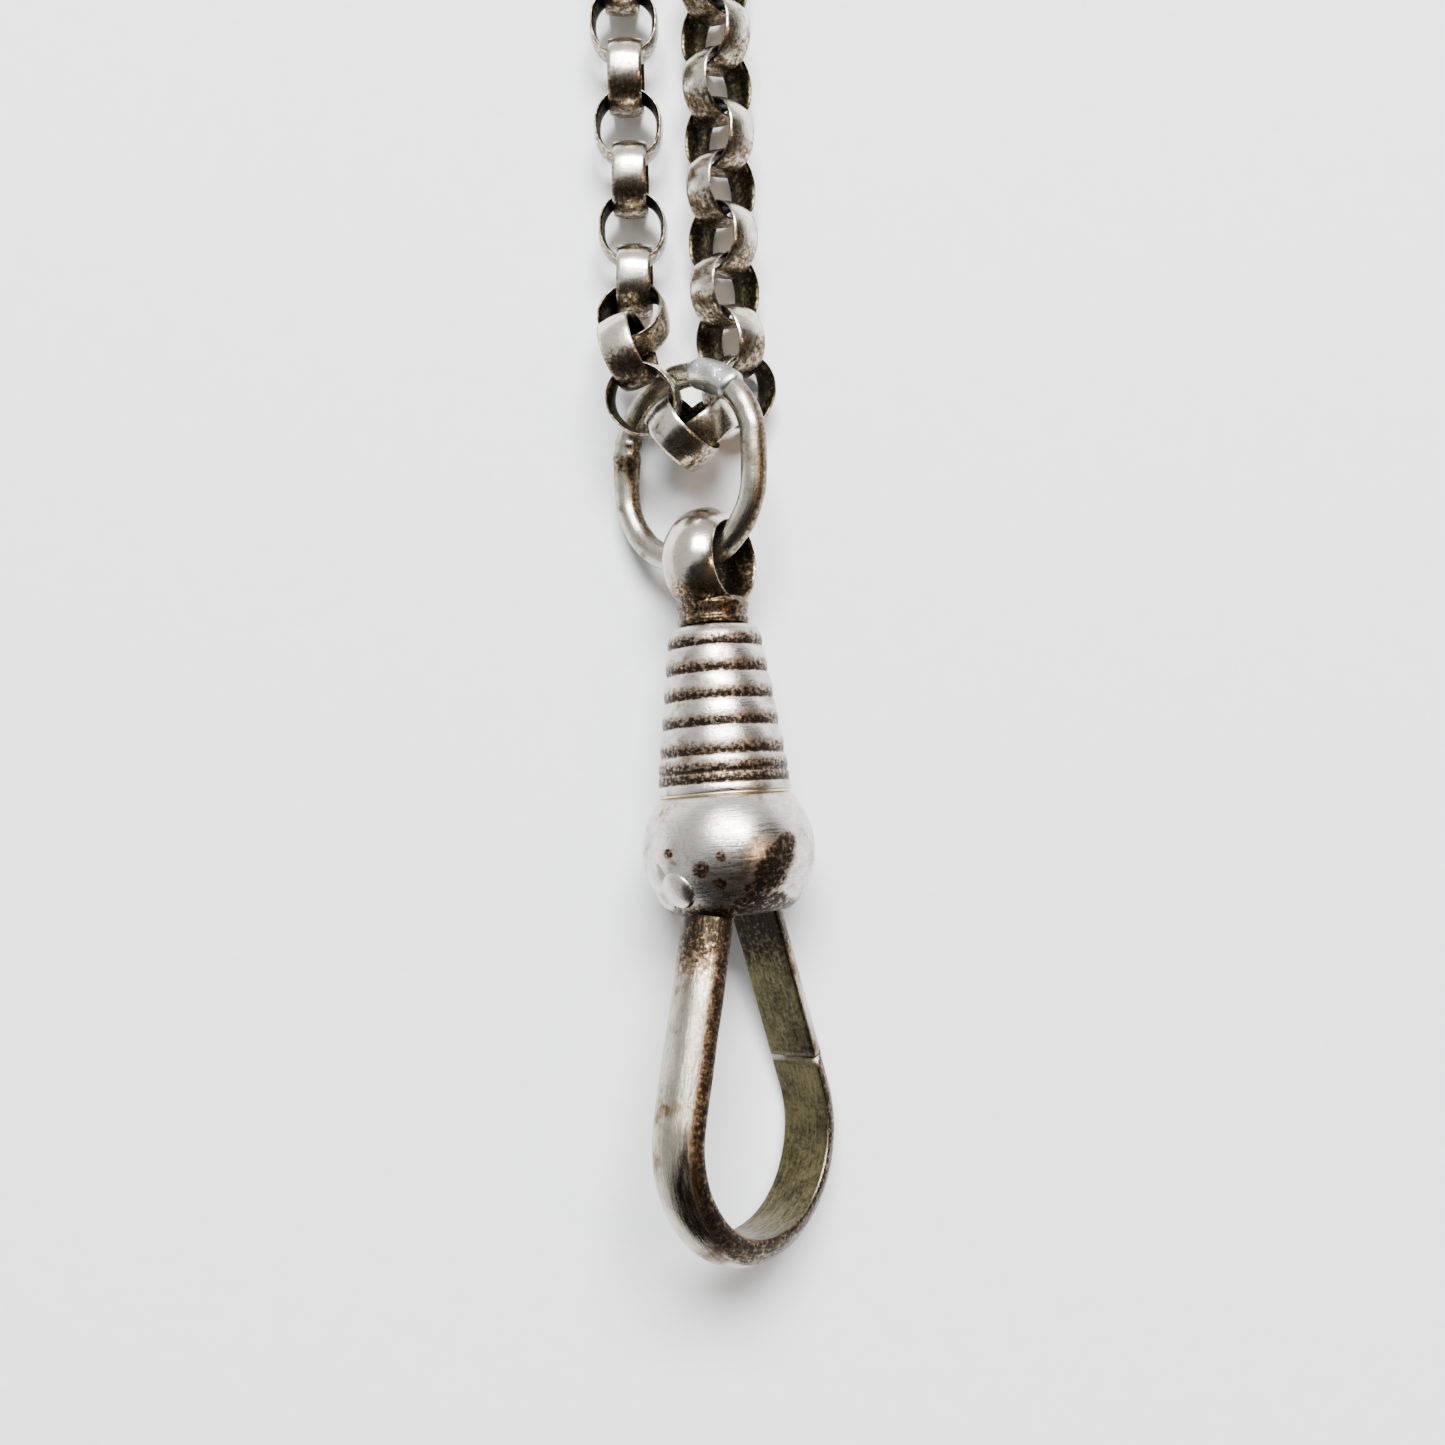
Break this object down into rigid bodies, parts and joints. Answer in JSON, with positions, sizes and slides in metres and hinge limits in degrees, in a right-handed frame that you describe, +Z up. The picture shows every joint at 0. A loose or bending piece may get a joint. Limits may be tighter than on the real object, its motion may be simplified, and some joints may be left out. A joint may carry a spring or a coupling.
{
  "type": "watch chain with dog clip",
  "caption": "Doubled belcher watch chain threaded through a jump ring, with a swivel dog clip whose sprung gate opens a teardrop loop.",
  "frame": {"origin": "middle of the footprint, on the table", "axes": "+Z up; +Y along the strands, from the dog clip to the coiled chain; +X to the right when the clip points at the viewer's foot"},
  "size_m": [0.0552, 0.1116, 0.0084],
  "materials": {
    "tarnished_silver": "tarnished",
    "worn_silver": "worn",
    "solder": "dull",
    "spring_steel": "dull"
  },
  "bodies": {
    "stored_chain": {"stored_chain_01": "tarnished_silver", "stored_chain_02": "tarnished_silver", "stored_chain_03": "tarnished_silver", "stored_chain_04": "tarnished_silver", "stored_chain_05": "tarnished_silver", "stored_chain_06": "tarnished_silver", "stored_chain_07": "tarnished_silver", "stored_chain_08": "tarnished_silver", "stored_chain_09": "tarnished_silver", "stored_chain_10": "tarnished_silver"},
    "pair_7": {"left_link_7": "tarnished_silver", "right_link_7": "tarnished_silver"},
    "pair_6": {"left_link_6": "tarnished_silver", "right_link_6": "tarnished_silver"},
    "pair_5": {"left_link_5": "tarnished_silver", "right_link_5": "tarnished_silver"},
    "pair_4": {"left_link_4": "tarnished_silver", "right_link_4": "tarnished_silver"},
    "pair_3": {"left_link_3": "tarnished_silver", "right_link_3": "tarnished_silver"},
    "pair_2": {"left_link_2": "tarnished_silver", "right_link_2": "tarnished_silver"},
    "pair_1": {"left_link_1": "tarnished_silver", "right_link_1": "tarnished_silver"},
    "bend": {"bend_link_1": "tarnished_silver", "bend_link_2": "tarnished_silver", "bend_link_3": "tarnished_silver", "bend_link_4": "tarnished_silver", "bend_link_5": "tarnished_silver", "bend_link_6": "tarnished_silver", "bend_link_7": "tarnished_silver"},
    "ring": {"jump_ring": "tarnished_silver", "jump_ring_solder": "solder"},
    "eye": {"swivel_eye": "tarnished_silver", "eye_rivet_head": "worn_silver"},
    "clip": {"bulb_shell": "worn_silver", "barrel": "worn_silver", "barrel_solder_ring": "solder", "hook": "tarnished_silver", "hook_solder": "solder", "gate_pin": "spring_steel", "gate_spring": "spring_steel"},
    "gate": {"gate": "tarnished_silver"}
  },
  "joints": [
    {"name": "gate_hinge", "type": "hinge", "parent": "clip", "child": "gate", "pos_m": [-0.02058, -0.04066, 0.00247], "axis": [0.7615, 0.0933, 0.6414], "range_deg": [-22, 0], "stiffness_Nm_per_rad": 0.004, "springref_deg": 20.05, "deforming": ["gate_spring"]},
    {"name": "swivel", "type": "hinge", "parent": "eye", "child": "clip", "pos_m": [-0.02219, -0.03044, 0.0029], "axis": [-0.0661, 0.9956, -0.0663], "continuous": true},
    {"name": "eye_on_ring", "type": "hinge", "parent": "ring", "child": "eye", "pos_m": [-0.02237, -0.02775, 0.00272], "axis": [0.8361, 0.0915, 0.5408], "range_deg": [-50, 0]},
    {"name": "ring_on_chain", "type": "hinge", "parent": "bend", "child": "ring", "pos_m": [-0.02324, -0.02002, 0.00265], "axis": [0.809, 0, 0.5878], "range_deg": [-6, 6]},
    {"name": "bend_lift", "type": "hinge", "parent": "pair_1", "child": "bend", "pos_m": [-0.02362, -0.0171, 0.00146], "axis": [1, 0, 0], "range_deg": [-10, 0]},
    {"name": "pair_lift_1", "type": "hinge", "parent": "pair_2", "child": "pair_1", "pos_m": [-0.02362, -0.01496, 0.00146], "axis": [-1, 0, 0], "range_deg": [0, 10]},
    {"name": "pair_lift_2", "type": "hinge", "parent": "pair_3", "child": "pair_2", "pos_m": [-0.02362, -0.01282, 0.00146], "axis": [1, 0, 0], "range_deg": [-10, 0]},
    {"name": "pair_lift_3", "type": "hinge", "parent": "pair_4", "child": "pair_3", "pos_m": [-0.02362, -0.01069, 0.00146], "axis": [-1, 0, 0], "range_deg": [0, 10]},
    {"name": "pair_lift_4", "type": "hinge", "parent": "pair_5", "child": "pair_4", "pos_m": [-0.02362, -0.00855, 0.00146], "axis": [1, 0, 0], "range_deg": [-10, 0]},
    {"name": "pair_lift_5", "type": "hinge", "parent": "pair_6", "child": "pair_5", "pos_m": [-0.02362, -0.00641, 0.00146], "axis": [-1, 0, 0], "range_deg": [0, 10]},
    {"name": "pair_lift_6", "type": "hinge", "parent": "pair_7", "child": "pair_6", "pos_m": [-0.02362, -0.00426, 0.00146], "axis": [1, 0, 0], "range_deg": [-10, 0]},
    {"name": "pair_lift_7", "type": "hinge", "parent": "stored_chain", "child": "pair_7", "pos_m": [-0.02362, -0.00213, 0.00146], "axis": [-1, 0, 0], "range_deg": [0, 10]}
  ]
}
